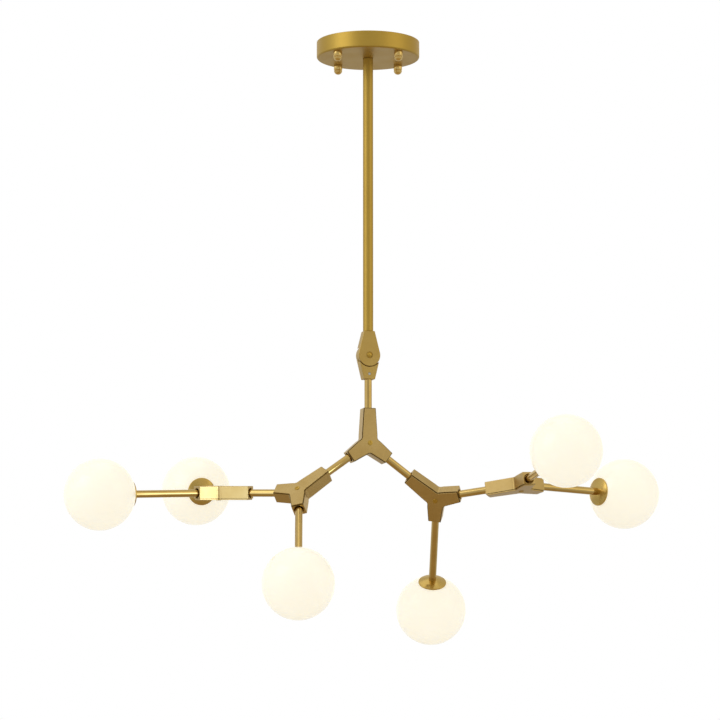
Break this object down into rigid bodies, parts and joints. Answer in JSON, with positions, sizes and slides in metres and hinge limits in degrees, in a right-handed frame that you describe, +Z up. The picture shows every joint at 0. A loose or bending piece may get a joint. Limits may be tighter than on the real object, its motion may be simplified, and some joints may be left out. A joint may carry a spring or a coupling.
{
  "type": "branch chandelier",
  "caption": "Branch chandelier in satin brass: a ceiling canopy and stem carry swivel tee hubs whose arms end in opal glass globes.",
  "frame": {"origin": "centre of the ceiling face, on the stem axis", "axes": "+Z up into the ceiling, stem hangs down along -Z; the pictured front is seen looking along +Y, with +X to the right"},
  "size_m": [0.8399, 0.4883, 0.8537],
  "materials": {
    "satin_brass": "satin, finely brushed",
    "polished_brass": "polished",
    "zinc_steel": "zinc plated",
    "opal_glass": "glossy opal, lit warm",
    "bulb_glass": "frosted",
    "lampholder_ceramic": "unglazed white",
    "grey_plastic": "matte"
  },
  "bodies": {
    "ceiling_mount": {"ceiling_bracket": "zinc_steel", "canopy_studs": "zinc_steel", "canopy": "satin_brass", "canopy_nuts": "polished_brass", "terminal_block": "grey_plastic", "stem_nipple": "zinc_steel", "stem_locknut": "zinc_steel", "stem_tube": "satin_brass", "knuckle_upper": "satin_brass"},
    "drop": {"knuckle_lower": "satin_brass", "knuckle_screw": "polished_brass", "knuckle_grub_screw": "zinc_steel", "drop_rod": "polished_brass", "drop_rod_nut": "zinc_steel"},
    "top_hub": {"top_hub_housing": "satin_brass", "top_hub_cover": "satin_brass", "top_hub_screw": "polished_brass", "left_link_rod": "polished_brass", "right_link_rod": "polished_brass", "link_rod_nuts": "zinc_steel"},
    "left_hub": {"left_hub_housing": "satin_brass", "left_hub_cover": "satin_brass", "left_hub_screw": "polished_brass", "left_reach_rod": "polished_brass", "left_reach_rod_nut": "zinc_steel", "arm_low_left": "polished_brass", "left_hub_cup": "satin_brass", "left_hub_lampholder": "lampholder_ceramic", "left_hub_bulb": "bulb_glass"},
    "right_hub": {"right_hub_housing": "satin_brass", "right_hub_cover": "satin_brass", "right_hub_screw": "polished_brass", "right_reach_rod": "polished_brass", "right_reach_rod_nut": "zinc_steel", "arm_low_right": "polished_brass", "right_hub_cup": "satin_brass", "right_hub_lampholder": "lampholder_ceramic", "right_hub_bulb": "bulb_glass"},
    "left_end": {"left_end_housing": "satin_brass", "left_end_cover": "satin_brass", "left_end_screw": "polished_brass", "arm_left_near": "polished_brass", "arm_left_far": "polished_brass", "left_end_cups": "satin_brass", "left_end_lampholders": "lampholder_ceramic", "left_end_bulbs": "bulb_glass"},
    "right_end": {"right_end_housing": "satin_brass", "right_end_cover": "satin_brass", "right_end_screw": "polished_brass", "arm_right_near": "polished_brass", "arm_right_far": "polished_brass", "right_end_cups": "satin_brass", "right_end_lampholders": "lampholder_ceramic", "right_end_bulbs": "bulb_glass"},
    "globe_body_left_near": {"globe_left_near": "opal_glass"},
    "globe_body_left_far": {"globe_left_far": "opal_glass"},
    "globe_body_low_left": {"globe_low_left": "opal_glass"},
    "globe_body_low_right": {"globe_low_right": "opal_glass"},
    "globe_body_right_near": {"globe_right_near": "opal_glass"},
    "globe_body_right_far": {"globe_right_far": "opal_glass"}
  },
  "joints": [
    {"name": "knuckle_tilt", "type": "hinge", "parent": "ceiling_mount", "child": "drop", "pos_m": [0, 0, -0.4543], "axis": [0.2924, -0.9563, 0], "range_deg": [-65, 65]},
    {"name": "top_hub_swivel", "type": "hinge", "parent": "drop", "child": "top_hub", "pos_m": [0, 0, -0.58], "axis": [0, 0, 1], "range_deg": [-170, 170]},
    {"name": "left_hub_swivel", "type": "hinge", "parent": "top_hub", "child": "left_hub", "pos_m": [-0.09671, -0.02957, -0.65347], "axis": [0.7737, 0.2365, 0.5878], "range_deg": [-170, 170]},
    {"name": "left_end_swivel", "type": "hinge", "parent": "left_hub", "child": "left_end", "pos_m": [-0.21128, 0.02008, -0.64765], "axis": [0.9166, -0.3972, -0.0466], "range_deg": [-170, 170]},
    {"name": "right_hub_swivel", "type": "hinge", "parent": "top_hub", "child": "right_hub", "pos_m": [0.09671, 0.02957, -0.65347], "axis": [-0.7737, -0.2365, 0.5878], "range_deg": [-170, 170]},
    {"name": "right_end_swivel", "type": "hinge", "parent": "right_hub", "child": "right_end", "pos_m": [0.21445, -0.00999, -0.63942], "axis": [-0.9419, 0.3165, -0.1124], "range_deg": [-170, 170]},
    {"name": "globe_off_left_near", "type": "slide", "parent": "left_end", "child": "globe_body_left_near", "axis": [-0.8622, -0.5017, -0.0693], "range_m": [0, 0.075]},
    {"name": "globe_off_left_far", "type": "slide", "parent": "left_end", "child": "globe_body_left_far", "axis": [-0.2152, 0.9687, 0.1241], "range_m": [0, 0.075]},
    {"name": "globe_off_low_left", "type": "slide", "parent": "left_hub", "child": "globe_body_low_left", "axis": [0.0071, -0.6752, -0.7376], "range_m": [0, 0.075]},
    {"name": "globe_off_low_right", "type": "slide", "parent": "right_hub", "child": "globe_body_low_right", "axis": [-0.0324, 0.5945, -0.8034], "range_m": [0, 0.075]},
    {"name": "globe_off_right_near", "type": "slide", "parent": "right_end", "child": "globe_body_right_near", "axis": [0.2893, -0.9472, 0.138], "range_m": [0, 0.075]},
    {"name": "globe_off_right_far", "type": "slide", "parent": "right_end", "child": "globe_body_right_far", "axis": [0.818, 0.5752, -0.0058], "range_m": [0, 0.075]}
  ]
}
